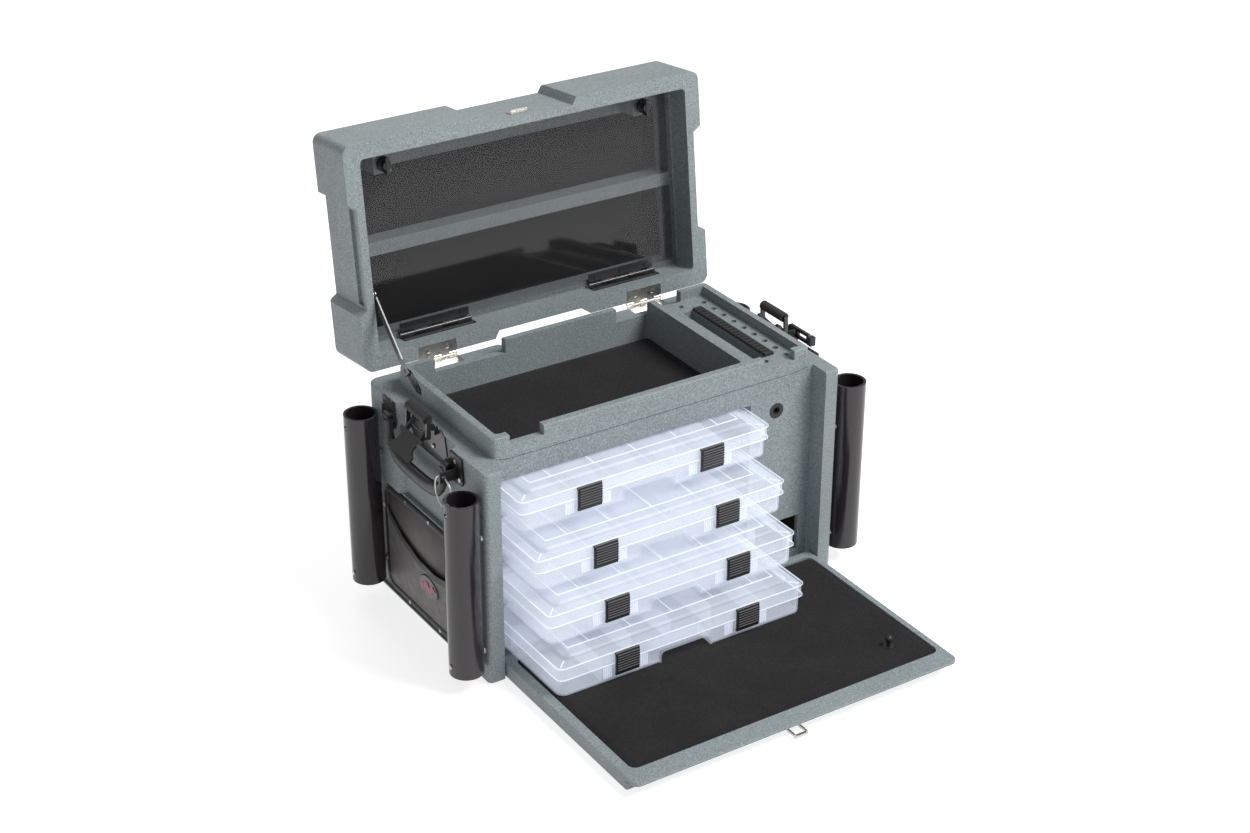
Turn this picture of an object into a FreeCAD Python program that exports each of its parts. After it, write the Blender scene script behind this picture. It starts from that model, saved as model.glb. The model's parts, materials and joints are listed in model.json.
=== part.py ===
"""Fishing tackle box: moulded case with a drop-down front door, a lid with a
clear window, a top tray, four utility boxes, rod tubes, handles and latches.

Units are mm. X runs to the right, Y to the back, Z up. The origin is the centre
of the case footprint on the floor. The lid and the door are drawn shut and are
then turned open about their hinge axes.
"""
import os
from math import cos, radians, sin

import FreeCAD, Part

V = FreeCAD.Vector

# ---- case ---------------------------------------------------------------
CASE_HALF = 255.0
CASE_DEPTH = 290.0
CASE_HEIGHT = 286.0
FRONT = -CASE_DEPTH / 2
PILLAR_INNER = 233.3
PILLAR_DEPTH = 28.0
SIDE_RECESS = 10.0
LOWER_RECESS = 4.0
CENTRE_HALF = 65.0
CENTRE_SLOPE = 6.0
CENTRE_RECESS = 10.0
BACK_WALL = 12.0
BAY_LEFT, BAY_RIGHT = -231.0, 139.5
BAY_FLOOR, BAY_TOP = 21.8, 254.5
BULK_LEFT, BULK_RIGHT = 152.0, 220.0
BULK_TOP = 74.0
RUNNER_WIDTH, RUNNER_THICK = 24.0, 3.4
# ---- top tray and rig holder ---------------------------------------------
TONGUE_HALF = 227.0
TONGUE_FRONT, TONGUE_BACK = 28.0, 257.0
TONGUE_TOP = 312.0
TONGUE_WALL = 10.0
DECK = 299.5
REAR_NOTCH_LEVEL = 294.0
FRONT_NOTCH = (158.0, 204.0)
REAR_NOTCH = (82.0, 182.0)
TRAY_DIVIDER = 131.0
DIVIDER_WALL = 8.0
TRAY_BOTTOM = 256.0
TRAY_FLOOR = 259.0
TRAY_FOAM = 3.0
RIG_HOLE_R = 4.0
RIG_HOLE_U = 205.0
RIG_HOLES = 9
RIG_HOLE_FIRST, RIG_HOLE_PITCH = 47.5, 22.56
SLOT_LEFT, SLOT_RIGHT = 163.0, 179.0
SLOT_FRONT, SLOT_BACK = 55.0, 215.0
SLOT_BOTTOM = 200.0
RAIL_RIGHT = 192.0
RAIL_TOP = 303.0
GROMMET_U, GROMMET_Z = 179.0, 236.0
GROMMET_R, GROMMET_HOLE = 10.5, 4.8
# ---- lid --------------------------------------------------------------------
LID_RIM = 286.4
LID_THICK = 86.0
LID_FRONT = 2.0
LID_AXIS_D, LID_AXIS_Z = 293.1, 289.4
LID_OPEN = 96.5
LID_OPENING = 233.5
LID_V0, LID_V1 = 22.0, 268.0
LID_SIDE_RECESS = 11.0
WINDOW_W = 32.2
WINDOW_THICK = 2.5
STEP_W = 35.0
CAVITY_HALF = 225.0
CAVITY_V = (30.0, 260.0)
CAVITY_W = 66.0
RIB_V = (134.0, 151.0)
KNOB_U, KNOB_V = 188.0, 247.0
KNOB_R = 8.5
WHINGE_U = (88.0, 190.0)
WHINGE_V, WHINGE_W, WHINGE_R = 26.2, 29.2, 2.2
BUTT_U = (127.5, 180.0)
BUTT_R = 2.8
STAY_V, STAY_W = 96.0, 7.0
STAY_FOOT_D, STAY_FOOT_Z = 231.0, 316.0
# ---- door -------------------------------------------------------------------
DOOR_HALF = 231.0
DOOR_AXIS_D, DOOR_AXIS_Z = 13.75, 8.25
DOOR_OUTER, DOOR_STEP, DOOR_INNER = 6.0, 22.5, 27.4
DOOR_LOW, DOOR_HIGH = 2.0, 285.0
FLANGE_LOW, FLANGE_HIGH = 6.6, 304.0
DOOR_FOAM_U = (-218.0, 223.0)
DOOR_FOAM_Z = (19.0, 278.0)
FOAM_THICK = 3.0
STUD_U, STUD_Z = GROMMET_U, GROMMET_Z
DLATCH_X, DLATCH_D, DLATCH_Z = -4.0, 10.6, 262.0
# ---- rod tubes ----------------------------------------------------------------
TUBE_R, TUBE_BORE = 21.3, 17.8
TUBE_U = 279.3
TUBE_D = (11.0, 262.0)
TUBE_Z = (24.0, 258.0)
# ---- handles and side latches ---------------------------------------------------
GRIP_AXIS_U, GRIP_AXIS_Z = 262.5, 268.0
GRIP_D = (80.0, 212.0)
PIN_R, PIN_GAP = 3.0, 0.06
BRACKET_W = 34.0
RING_U, RING_Z, RING_R = 276.5, 264.5, 20.5
LATCH_D = (120.0, 174.0)
LEVER_U, LEVER_Z = 252.5, 292.0
LEVER_LEN = 50.0
LEVER_LEAN = 47.0
LINK_AT = 12.0
ROLLER_U, ROLLER_Z = 259.3, 305.0
ROLLER_R = 6.4
POCKET_DEEP = 6.2
POCKET_EDGE = 2.6
POCKET_RIVETS = (
    [(d, 153.5) for d in (202, 143, 83)]
    + [(d, 10) for d in (201, 123, 56)]
    + [(258, z) for z in (123, 47)]
)
# ---- utility boxes ----------------------------------------------------------------
BOX_LEFT = -215.5
BOX_WIDTH, BOX_DEPTH = 350.0, 232.0
BOX_PITCH = 61.1
BOX_LOWEST = 22.7
BOX_PULL = (15.0, 50.0, 75.0, 97.0)
BOX_WALL = 1.8
LIP_LOW, LIP_TOP, PANEL_TOP = 24.0, 41.0, 45.8
BOX_LATCH_X = (74.0, 248.0)
BOX_LATCH_W = 33.0


def y(depth):
    """Y of a point that lies depth behind the front faces of the pillars."""
    return FRONT + depth


def block(x0, x1, d0, d1, z0, z1):
    return Part.makeBox(x1 - x0, d1 - d0, z1 - z0, V(x0, y(d0), z0))


def pin(radius, start, end):
    line = end - start
    return Part.makeCylinder(radius, line.Length, start, line)


def tube(radius, bore, start, end):
    return pin(radius, start, end).cut(pin(bore, start, end))


def along_x(radius, x0, x1, depth, z):
    return pin(radius, V(x0, y(depth), z), V(x1, y(depth), z))


def along_y(radius, x, d0, d1, z):
    return pin(radius, V(x, y(d0), z), V(x, y(d1), z))


def prism(points, direction):
    """Solid of a closed outline given as vectors, swept along direction."""
    wire = Part.makePolygon(list(points) + [points[0]])
    return Part.Face(wire).extrude(direction)


def plan(points, z0, z1):
    """Prism of an outline given as (x, depth)."""
    return prism([V(x, y(d), z0) for x, d in points], V(0, 0, z1 - z0))


def side_profile(points, x0, x1):
    """Prism along X of an outline given as (depth, z)."""
    return prism([V(x0, y(d), z) for d, z in points], V(x1 - x0, 0, 0))


def edges_along(shape, axis, test=None):
    """The straight edges of shape that run along axis, filtered by test."""
    found = []
    for edge in shape.Edges:
        if not isinstance(edge.Curve, Part.Line):
            continue
        if edge.tangentAt(edge.FirstParameter).cross(axis).Length > 1e-6:
            continue
        if test is None or test(edge.CenterOfMass):
            found.append(edge)
    return found


def rounded(shape, radius, axis, test=None):
    found = edges_along(shape, axis, test)
    return shape.makeFillet(radius, found) if found else shape


def fused(shapes):
    total = shapes[0]
    if len(shapes) > 1:
        total = total.fuse(shapes[1:])
    return total.removeSplitter()


def mirrored(shape):
    return shape.mirror(V(0, 0, 0), V(1, 0, 0))


def save(name, shapes):
    shape = shapes if not isinstance(shapes, list) else Part.makeCompound(shapes)
    shape.exportStep("parts/" + name + ".step")


def opened(shape):
    """Turn a lid piece from shut to its rest pose."""
    copy = shape.copy()
    copy.rotate(V(0, y(LID_AXIS_D), LID_AXIS_Z), V(1, 0, 0), -LID_OPEN)
    return copy


def lowered(shape):
    """Turn a door piece from shut to lying open."""
    copy = shape.copy()
    copy.rotate(V(0, y(DOOR_AXIS_D), DOOR_AXIS_Z), V(1, 0, 0), 90)
    return copy


def centre_recess(face, sign, z0, z1):
    """Cutter for the shallow centre panel of a front or back face."""
    a = CENTRE_HALF
    b = CENTRE_HALF + CENTRE_SLOPE
    deep = face + sign * CENTRE_RECESS
    out = face - sign * 5
    outline = [(-b, face), (-a, deep), (a, deep), (b, face), (b, out), (-b, out)]
    return plan(outline, z0, z1)


def side_recess(outer, deep, d0, d1, slope, z0, z1):
    """Cutter for a shallow panel of the right side."""
    inner = outer - deep
    outline = [
        (outer, d0),
        (inner, d0 + slope),
        (inner, d1 - slope),
        (outer, d1),
        (outer + 5, d1),
        (outer + 5, d0),
    ]
    return plan(outline, z0, z1)


def rig_hole_places():
    row = [(RIG_HOLE_U, RIG_HOLE_FIRST + i * RIG_HOLE_PITCH) for i in range(RIG_HOLES)]
    return row + [(172.0, 232.0), (172.0, 45.0)]


def make_case():
    body = block(-CASE_HALF, CASE_HALF, 0, CASE_DEPTH, 0, CASE_HEIGHT)
    body = rounded(body, 14, V(0, 0, 1), lambda p: p.y > 0)
    body = rounded(body, 7, V(0, 0, 1), lambda p: p.y < 0)
    body = body.makeFillet(3, edges_along(body, V(1, 0, 0), lambda p: p.y > 0))
    sides = [
        side_recess(CASE_HALF, SIDE_RECESS, 75, 217, 7, 160, CASE_HEIGHT + 5),
        side_recess(CASE_HALF, LOWER_RECESS, 40, 276, 5, 4, 160),
    ]
    cutters = sides + [mirrored(s) for s in sides]
    cutters.append(centre_recess(CASE_DEPTH, -1, -5, CASE_HEIGHT + 5))
    cutters.append(
        block(-PILLAR_INNER, PILLAR_INNER, -5, PILLAR_DEPTH, -5, CASE_HEIGHT + 5)
    )
    back = CASE_DEPTH - BACK_WALL - CENTRE_RECESS
    cutters.append(block(BAY_LEFT, BAY_RIGHT, 20, back, BAY_FLOOR, BAY_TOP))
    cutters.append(block(BULK_LEFT, BULK_RIGHT, 20, back, BAY_FLOOR, BULK_TOP))
    cutters.append(block(-219.5, 141.5, 35.5, 249.5, BAY_TOP - 1, CASE_HEIGHT + 5))
    cutters.append(
        block(SLOT_LEFT, SLOT_RIGHT, SLOT_FRONT, SLOT_BACK, SLOT_BOTTOM, CASE_HEIGHT + 5)
    )
    for u, d in rig_hole_places():
        cutters.append(pin(RIG_HOLE_R, V(u, y(d), 262), V(u, y(d), CASE_HEIGHT + 5)))
    cutters.append(along_y(GROMMET_R, GROMMET_U, 20, 45, GROMMET_Z))
    for s in (-1, 1):
        a, b = sorted((s * (BUTT_U[0] - 0.3), s * (BUTT_U[1] + 0.3)))
        cutters.append(block(a, b, 261.5, CASE_DEPTH + 5, 284.5, CASE_HEIGHT + 5))
    body = body.cut(cutters)
    runners = []
    for level in range(1, 4):
        top = BOX_LOWEST + level * BOX_PITCH - 0.3
        low = top - RUNNER_THICK
        for a, b in (
            (BAY_LEFT, BAY_LEFT + RUNNER_WIDTH),
            (BAY_RIGHT - RUNNER_WIDTH, BAY_RIGHT),
        ):
            runners.append(block(a - 0.5, b + 0.5, 34, 262, low, top))
    return fused([body] + runners)


def make_tray():
    ring = block(
        -TONGUE_HALF, TONGUE_HALF, TONGUE_FRONT, TONGUE_BACK, CASE_HEIGHT, TONGUE_TOP
    )
    ring = rounded(ring, 6, V(0, 0, 1))
    ring = ring.makeFillet(2, [e for e in ring.Edges if e.BoundBox.ZMin > TONGUE_TOP - 0.1])
    tub = rounded(block(-219, 141, 36, 249, TRAY_BOTTOM, CASE_HEIGHT), 5, V(0, 0, 1))
    wall = TONGUE_WALL
    cavity = block(
        -TONGUE_HALF + wall,
        TRAY_DIVIDER,
        TONGUE_FRONT + wall,
        TONGUE_BACK - wall,
        TRAY_FLOOR,
        TONGUE_TOP + 5,
    )
    cavity = rounded(cavity, 5, V(0, 0, 1))
    deck = block(
        TRAY_DIVIDER + DIVIDER_WALL,
        TONGUE_HALF - wall,
        TONGUE_FRONT + wall,
        TONGUE_BACK - wall,
        DECK,
        TONGUE_TOP + 5,
    )
    cutters = [cavity, deck]
    top = TONGUE_TOP + 5
    for s in (-1, 1):
        a, b = sorted((s * FRONT_NOTCH[0], s * FRONT_NOTCH[1]))
        cutters.append(block(a, b, TONGUE_FRONT - 1, TONGUE_FRONT + wall + 1, DECK, top))
        a, b = sorted((s * REAR_NOTCH[0], s * REAR_NOTCH[1]))
        cutters.append(
            block(a, b, TONGUE_BACK - wall - 1, TONGUE_BACK + 1, REAR_NOTCH_LEVEL, top)
        )
    cutters.append(block(SLOT_LEFT, SLOT_RIGHT, SLOT_FRONT, SLOT_BACK, 280, top))
    for u, d in rig_hole_places():
        cutters.append(pin(RIG_HOLE_R, V(u, y(d), 280), V(u, y(d), top)))
    return ring.fuse(tub).cut(cutters).removeSplitter()


def make_rail():
    rail = block(
        SLOT_RIGHT, RAIL_RIGHT, SLOT_FRONT, SLOT_BACK, DECK, RAIL_TOP
    )
    count = 19
    pitch = (SLOT_BACK - SLOT_FRONT) / (count + 1)
    grooves = []
    for i in range(count):
        d = SLOT_FRONT + pitch * (i + 1)
        grooves.append(block(SLOT_RIGHT - 1, RAIL_RIGHT - 3, d - 1.2, d + 1.2, 301.2, 310))
    return rail.cut(grooves)


def rear_shape(z0, z1, front, rear, half, corner):
    body = block(-half, half, front, rear, z0, z1)
    return rounded(body, corner, V(0, 0, 1))


def lid_block(x0, x1, v0, v1, w0, w1):
    """Box in lid terms: v from the hinge edge forwards, w up from the rim."""
    return block(x0, x1, CASE_DEPTH - v1, CASE_DEPTH - v0, LID_RIM + w0, LID_RIM + w1)


def make_lid():
    body = rear_shape(
        LID_RIM, LID_RIM + LID_THICK, LID_FRONT, CASE_DEPTH, CASE_HALF, 12
    )
    top = LID_RIM + LID_THICK
    body = body.makeFillet(5, [e for e in body.Edges if e.BoundBox.ZMin > top - 0.1])
    side = side_recess(
        CASE_HALF, LID_SIDE_RECESS, 75, 217, 7, LID_RIM - 5, top + 5
    )
    keeper = block(240, 250, 85, 207, LID_RIM + 7, LID_RIM + 22)
    cutters = [side, mirrored(side), keeper, mirrored(keeper)]
    cutters.append(centre_recess(CASE_DEPTH, -1, LID_RIM - 5, top + 5))
    cutters.append(centre_recess(LID_FRONT, 1, LID_RIM - 5, top + 5))
    opening = lid_block(-LID_OPENING, LID_OPENING, LID_V0, LID_V1, -5, STEP_W)
    cutters.append(rounded(opening, 6, V(0, 0, 1)))
    for v0, v1 in ((CAVITY_V[0], RIB_V[0]), (RIB_V[1], CAVITY_V[1])):
        bay = lid_block(-CAVITY_HALF, CAVITY_HALF, v0, v1, STEP_W - 1, CAVITY_W)
        cutters.append(rounded(bay, 5, V(0, 0, 1)))
    for s in (-1, 1):
        a, b = sorted((s * (BUTT_U[0] - 0.3), s * (BUTT_U[1] + 0.3)))
        cutters.append(lid_block(a, b, -5, 15.3, -1, 1.6))
    body = body.cut(cutters)
    posts = []
    for s in (-1, 1):
        u = s * KNOB_U
        post = lid_block(u - 12, u + 12, KNOB_V - 12, CAVITY_V[1] + 1, STEP_W, CAVITY_W + 1)
        d = CASE_DEPTH - KNOB_V
        hole = pin(4.6, V(u, y(d), LID_RIM + 30), V(u, y(d), LID_RIM + 50))
        posts.append(post.cut(hole))
    return fused([body] + posts)


def make_window():
    pane = lid_block(-228.5, 228.5, 24.4, 265.5, WINDOW_W, WINDOW_W + WINDOW_THICK)
    pane = rounded(pane, 6, V(0, 0, 1))
    holes = []
    for s in (-1, 1):
        d = CASE_DEPTH - KNOB_V
        holes.append(
            pin(3 + PIN_GAP, V(s * KNOB_U, y(d), LID_RIM + 20), V(s * KNOB_U, y(d), LID_RIM + 60))
        )
    return pane.cut(holes)


def make_knob(s):
    """Window knob: a winged turn knob on a shaft with a small cross cam."""
    d = CASE_DEPTH - KNOB_V
    face = LID_RIM + WINDOW_W - 0.1
    u = s * KNOB_U
    skirt = pin(KNOB_R, V(u, y(d), face - 4), V(u, y(d), face))
    hub = pin(5.5, V(u, y(d), face - 12), V(u, y(d), face - 3))
    wing = block(u - 2.2, u + 2.2, d - 11, d + 11, face - 13, face - 3)
    wing = rounded(wing, 2, V(0, 0, 1))
    shaft = pin(3.0, V(u, y(d), face - 1), V(u, y(d), LID_RIM + WINDOW_W + WINDOW_THICK))
    return fused([skirt, hub, wing, shaft])


def hinge_cuts(u0, u1, count):
    pitch = (u1 - u0) / count
    return [(u0 + pitch * i + 0.15, u0 + pitch * (i + 1) - 0.15) for i in range(count)]


def make_window_hinges():
    """Fixed leaves on the lower wall of the lid opening, moving on the pane."""
    fixed, moving = [], []
    d = CASE_DEPTH - WHINGE_V
    z = LID_RIM + WHINGE_W
    for s in (-1, 1):
        u0, u1 = sorted((s * WHINGE_U[0], s * WHINGE_U[1]))
        parts_f = [lid_block(u0, u1, LID_V0, LID_V0 + 1.3, WHINGE_W - 13, WHINGE_W + 1)]
        parts_m = [lid_block(u0 + 2, u1 - 2, WHINGE_V + 3.2, WHINGE_V + 14, WINDOW_W - 1.4, WINDOW_W)]
        for i, (a, b) in enumerate(hinge_cuts(u0, u1, 5)):
            knuckle = along_x(WHINGE_R, a, b, d, z)
            if i % 2 == 0:
                web = lid_block(a, b, LID_V0, WHINGE_V, WHINGE_W - 0.7, WHINGE_W + 0.7)
                parts_f.append(knuckle.fuse(web))
            else:
                web = lid_block(a, b, WHINGE_V, WHINGE_V + 4, WHINGE_W + 0.8, WHINGE_W + 2.2)
                link = lid_block(a, b, WHINGE_V + 2.8, WHINGE_V + 4.2, WHINGE_W + 0.8, WINDOW_W)
                bore = along_x(1.2 + PIN_GAP, a - 1, b + 1, d, z)
                parts_m.append(knuckle.fuse([web, link]).cut(bore))
        parts_f.append(along_x(1.2, u0 + 0.2, u1 - 0.2, d, z))
        for k in (0.12, 0.5, 0.88):
            x = u0 + (u1 - u0) * k
            head = pin(
                2.6,
                V(x, y(d - 8), LID_RIM + WINDOW_W - 2.4),
                V(x, y(d - 8), LID_RIM + WINDOW_W - 1.2),
            )
            parts_m.append(head)
        fixed.append(fused(parts_f))
        moving.append(fused(parts_m))
    return fixed, moving


def make_butt_hinges():
    """Case leaves with their pins, and the lid leaves, all drawn shut."""
    lower, upper = [], []
    d, z = LID_AXIS_D, LID_AXIS_Z
    for s in (-1, 1):
        u0, u1 = sorted((s * BUTT_U[0], s * BUTT_U[1]))
        low = [block(u0, u1, 262, 292.6, 284.5, 285.9)]
        high = [lid_block(u0, u1, 0, 15, 0.15, 1.55)]
        for i, (a, b) in enumerate(hinge_cuts(u0, u1, 5)):
            knuckle = along_x(BUTT_R, a, b, d, z)
            if i % 2 == 0:
                low.append(knuckle.fuse(block(a, b, 291.2, 292.6, 285, 288)))
            else:
                web = block(a, b, 289.5, 292.5, LID_RIM + 0.15, LID_RIM + 1.55)
                bore = along_x(1.4 + PIN_GAP, a - 1, b + 1, d, z)
                high.append(knuckle.fuse(web).cut(bore))
        low.append(along_x(1.4, u0 + 0.2, u1 - 0.2, d, z))
        for k in (0.2, 0.8):
            x = u0 + (u1 - u0) * k
            low.append(pin(3.2, V(x, y(270), 285.5), V(x, y(270), 286.25)))
        lower.append(fused(low))
        upper.append(fused(high))
    return lower, upper


def make_strike():
    d = LID_FRONT + CENTRE_RECESS
    plate = block(-16, 16, d - 1.2, d, LID_RIM + 14, LID_RIM + 26)
    lip = block(-12, 12, d - 4, d, LID_RIM + 22, LID_RIM + 24)
    return fused([plate, lip])


def lid_point(v, w):
    """Depth and height of a lid point in the rest pose."""
    a = radians(-LID_OPEN)
    dy = CASE_DEPTH - v - LID_AXIS_D
    dz = LID_RIM + w - LID_AXIS_Z
    return LID_AXIS_D + dy * cos(a) - dz * sin(a), LID_AXIS_Z + dy * sin(a) + dz * cos(a)


def make_stay():
    """Flat bar from the lid wall down to its bracket beside the tray."""
    top_d, top_z = lid_point(STAY_V, STAY_W)
    length = ((top_d - STAY_FOOT_D) ** 2 + (top_z - STAY_FOOT_Z) ** 2) ** 0.5
    dd, dz = (STAY_FOOT_D - top_d) / length, (STAY_FOOT_Z - top_z) / length
    nd, nz = -dz, dd
    half = 4.5
    u0, u1 = -231.6, -229.8
    outline = []
    for t, h in ((-6, 3.2), (6, 5), (length - 14, half), (length + 6, 6)):
        outline.append((top_d + dd * t + nd * h, top_z + dz * t + nz * h))
    for t, h in ((length + 6, 6), (length - 14, half), (6, 5), (-6, 3.2)):
        outline.append((top_d + dd * t - nd * h, top_z + dz * t - nz * h))
    bar = side_profile(outline, u0, u1)
    hole = along_x(2.2 + PIN_GAP, u0 - 1, u1 + 1, top_d, top_z)
    bar = bar.cut([hole, along_x(2.4, u0 - 1, u1 + 1, STAY_FOOT_D, STAY_FOOT_Z)])
    rivet = [
        along_x(2.2, -LID_OPENING, -229.2, top_d, top_z),
        along_x(4.2, -LID_OPENING, -231.7, top_d, top_z),
        along_x(4.0, -229.7, -228.9, top_d, top_z),
    ]
    outline = [(236, 318.2), (240, 313), (210, 296), (200, 296), (200, 303), (222, 318.2)]
    bracket = side_profile(outline, -228.6, -TONGUE_HALF)
    heads = [along_x(2.8, -229.5, -228.4, d, z) for d, z in ((229, 314.6), (209, 302.5))]
    return bar, fused(rivet), fused([bracket] + heads)


def make_door():
    outer = block(-DOOR_HALF, DOOR_HALF, DOOR_OUTER, DOOR_STEP, DOOR_LOW, DOOR_HIGH)
    outer = rounded(outer, 4, V(0, 0, 1), lambda p: p.y < y(10))
    outer = rounded(outer, 4, V(1, 0, 0), lambda p: p.y < y(10))
    inner = block(-DOOR_HALF, DOOR_HALF, DOOR_STEP, DOOR_INNER, FLANGE_LOW, FLANGE_HIGH)
    inner = rounded(inner, 8, V(0, 1, 0), lambda p: p.z > 290)
    door = outer.fuse(inner)
    pocket = block(
        DOOR_FOAM_U[0] - 0.5,
        DOOR_FOAM_U[1] + 0.5,
        DOOR_INNER - FOAM_THICK - 0.4,
        DOOR_INNER + 5,
        DOOR_FOAM_Z[0] - 0.5,
        DOOR_FOAM_Z[1] + 0.5,
    )
    pocket = rounded(pocket, 10, V(0, 1, 0))
    cutters = [centre_recess(DOOR_OUTER, 1, -5, 290), pocket]
    for s in (-1, 1):
        cutters.append(
            along_x(2.5 + PIN_GAP, s * 199, s * (DOOR_HALF + 1), DOOR_AXIS_D, DOOR_AXIS_Z)
        )
    cutters.append(along_y(3.0, STUD_U, 20, 40, STUD_Z))
    return door.cut(cutters).removeSplitter()


def make_door_foam():
    foam = block(
        DOOR_FOAM_U[0],
        DOOR_FOAM_U[1],
        DOOR_INNER - FOAM_THICK - 0.4,
        DOOR_INNER - 0.4,
        DOOR_FOAM_Z[0],
        DOOR_FOAM_Z[1],
    )
    foam = rounded(foam, 10, V(0, 1, 0))
    return foam.cut(along_y(8.0, STUD_U, 0, 40, STUD_Z))


def make_stud():
    neck = along_y(2.9, STUD_U, 20.5, 36, STUD_Z)
    collar = along_y(7.0, STUD_U, DOOR_INNER - 3.4, DOOR_INNER - 0.2, STUD_Z)
    ball = Part.makeSphere(4.5, V(STUD_U, y(37), STUD_Z))
    return fused([neck, collar, ball])


def make_door_pins():
    """Two pivot pins fixed to the pillars, entering the ends of the door."""
    pins = []
    for s in (-1, 1):
        stub = along_x(2.5, s * 200, s * PILLAR_INNER, DOOR_AXIS_D, DOOR_AXIS_Z)
        washer = along_x(4.5, s * (DOOR_HALF + 0.6), s * PILLAR_INNER, DOOR_AXIS_D, DOOR_AXIS_Z)
        pins.append(fused([stub, washer]))
    return pins


def make_door_latch():
    """Draw latch on the centre panel of the door, all drawn shut."""
    face = DOOR_OUTER + CENTRE_RECESS
    mid = DLATCH_X
    plate = block(mid - 17, mid + 17, face - 1.2, face, 243, 281)
    plate = rounded(plate, 3, V(0, 1, 0))
    base = [plate]
    cheeks = []
    arms = []
    for s in (-1, 1):
        a, b = sorted((mid + s * 12.0, mid + s * 13.4))
        base.append(block(a, b, DLATCH_D - 2.2, face - 0.5, 257, 267))
        base.append(along_x(1.5, mid + s * 10, mid + s * 13, DLATCH_D, DLATCH_Z))
        a, b = sorted((mid + s * 10.2, mid + s * 11.6))
        cheek = block(a, b, DLATCH_D - 3.2, DLATCH_D + 1.9, 238, 263.5)
        bore = along_x(1.5 + PIN_GAP, a - 1, b + 1, DLATCH_D, DLATCH_Z)
        cheeks.append(cheek.cut(bore))
        a, b = sorted((mid + s * 7.2, mid + s * 9.6))
        arm = block(a, b, DLATCH_D - 2.3, DLATCH_D + 0.7, 252, 306)
        bore = along_x(1.2 + PIN_GAP, a - 1, b + 1, DLATCH_D - 0.8, DLATCH_Z - 8)
        arms.append(arm.cut(bore))
    grip = block(mid - 11.6, mid + 11.6, DLATCH_D - 3.4, DLATCH_D - 2.4, 234, 250)
    grip = rounded(grip, 4, V(0, 1, 0), lambda p: p.z < 240)
    pivot = along_x(1.2, mid - 11, mid + 11, DLATCH_D - 0.8, DLATCH_Z - 8)
    lever = fused([grip] + cheeks + [pivot])
    bar = block(mid - 9.6, mid + 9.6, DLATCH_D - 3.4, DLATCH_D - 0.2, 304, 307.5)
    return fused(base), lever, fused(arms + [bar])


def make_side_latch():
    """Right-hand side latch: base, lever, link and roller."""
    d0, d1 = LATCH_D
    mid = (d0 + d1) / 2
    face = CASE_HALF - SIDE_RECESS
    outline = [(mid - 44, 262), (mid - 33, 246), (mid + 33, 246), (mid + 44, 262)]
    outline += [(mid + 40, 284), (mid + 30, 290), (mid - 30, 290), (mid - 40, 284)]
    plate = side_profile(outline, face, face + 2)
    ears = []
    for e0, e1 in ((d0 + 4.1, d0 + 7.3), (d1 - 7.3, d1 - 4.1)):
        ears.append(block(face + 1, LEVER_U - 1.5, e0, e1, 282, 292))
        ears.append(along_y(3.4, LEVER_U, e0, e1, LEVER_Z))
    for e0, e1 in ((d0 + 4.1, d0 + 11.2), (d1 - 11.2, d1 - 4.1)):
        ears.append(along_y(1.8, LEVER_U, e0, e1, LEVER_Z))
    heads = [
        pin(3.4, V(face + 1.5, y(d), 262), V(face + 3, y(d), 262)) for d in (mid - 12, mid + 12)
    ]
    base = fused([plate] + ears + heads)

    a = radians(LEVER_LEAN)

    def local(t, n):
        """A point t along the leaning lever and n off its outer face."""
        return LEVER_U + t * cos(a) + n * sin(a), LEVER_Z - t * sin(a) + n * cos(a)

    def slab(t0, t1, n0, n1, e0, e1):
        corners = [local(t0, n0), local(t1, n0), local(t1, n1), local(t0, n1)]
        return prism([V(u, y(e0), z) for u, z in corners], V(0, e1 - e0, 0))

    body = slab(20, LEVER_LEN, 0.6, 3.2, d0, d1)
    tip = slab(LEVER_LEN - 3, LEVER_LEN, -2.5, 3.2, d0 + 6, d1 - 6)
    rails = []
    for e0, e1 in ((d0 + 7.8, d0 + 11.2), (d1 - 11.2, d1 - 7.8)):
        rails.append(slab(0, 24, -2.6, 3.2, e0, e1))
        rails.append(along_y(3.4, LEVER_U, e0, e1, LEVER_Z))
    waist = []
    for e in (d0, d1):
        u, z = local(33, -6)
        waist.append(Part.makeCylinder(8.5, 20, V(u, y(e), z), V(sin(a), 0, cos(a))))
    link_u, link_z = local(LINK_AT, 0)
    bar = along_y(1.6, link_u, d0 + 0.7, d1 - 0.7, link_z)
    lever = fused([body, tip] + rails).cut(waist).fuse(bar).removeSplitter()
    lever = lever.cut(along_y(1.8 + PIN_GAP, LEVER_U, d0 - 10, d1 + 10, LEVER_Z))
    arms = []
    for e in (d0 + 0.5, d1 - 3.5):
        outline = [
            (link_u - 3, link_z - 3),
            (link_u + 3.2, link_z - 3),
            (ROLLER_U + 2.8, ROLLER_Z + 2.8),
            (ROLLER_U - 2.8, ROLLER_Z + 2.8),
        ]
        arm = prism([V(u, y(e), z) for u, z in outline], V(0, 3, 0))
        arms.append(arm.cut(along_y(1.6 + PIN_GAP, link_u, e - 1, e + 5, link_z)))
    spindle = along_y(1.6, ROLLER_U, d0 + 1, d1 - 1, ROLLER_Z)
    link = fused(arms + [spindle])
    roller = along_y(ROLLER_R, ROLLER_U, d0 + 4.1, d1 - 4.1, ROLLER_Z)
    roller = roller.cut(along_y(1.6 + PIN_GAP, ROLLER_U, d0, d1, ROLLER_Z))
    return base, lever, link, roller


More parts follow.
